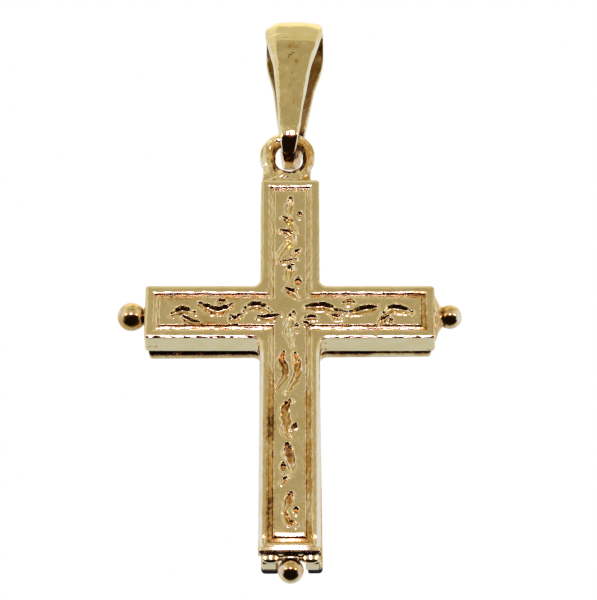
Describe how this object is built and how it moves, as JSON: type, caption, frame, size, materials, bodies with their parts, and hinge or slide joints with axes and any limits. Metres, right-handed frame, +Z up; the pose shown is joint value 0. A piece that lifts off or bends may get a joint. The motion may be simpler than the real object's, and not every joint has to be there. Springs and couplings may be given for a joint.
{
  "type": "reliquary cross pendant",
  "caption": "Hinged reliquary cross of cast gold with a framed vine relief, ball finials and a back cover that opens on a foot hinge, hanging from a tapered bail.",
  "frame": {"origin": "the chain seat: the inside of the bail's crown, where the chain bears", "axes": "+Z up as the pendant hangs, -Y out of the ornamented front, +X to the right seen from the front"},
  "size_m": [0.029, 0.0056, 0.0544],
  "materials": {
    "polished_gold": "polished cast yellow gold with fine scratches and pits",
    "cast_gold": "worn cast yellow gold, brown tarnish in the relief",
    "cover_gold": "worn plain yellow gold",
    "pin_gold": "drawn gold wire"
  },
  "bodies": {
    "bail": {"bail": "polished_gold"},
    "case": {"case": "cast_gold"},
    "cover": {"cover": "cover_gold", "hinge_pin": "pin_gold"}
  },
  "joints": [
    {"name": "bail_swing", "type": "hinge", "parent": "bail", "child": "case", "pos_m": [-0.00037, 0, -0.01119], "axis": [1, 0, 0], "range_deg": [-90, 90]},
    {"name": "cover_hinge", "type": "hinge", "parent": "case", "child": "cover", "pos_m": [-0.00027, 0.00015, -0.05134], "axis": [-1, 0, 0], "range_deg": [0, 100]}
  ]
}
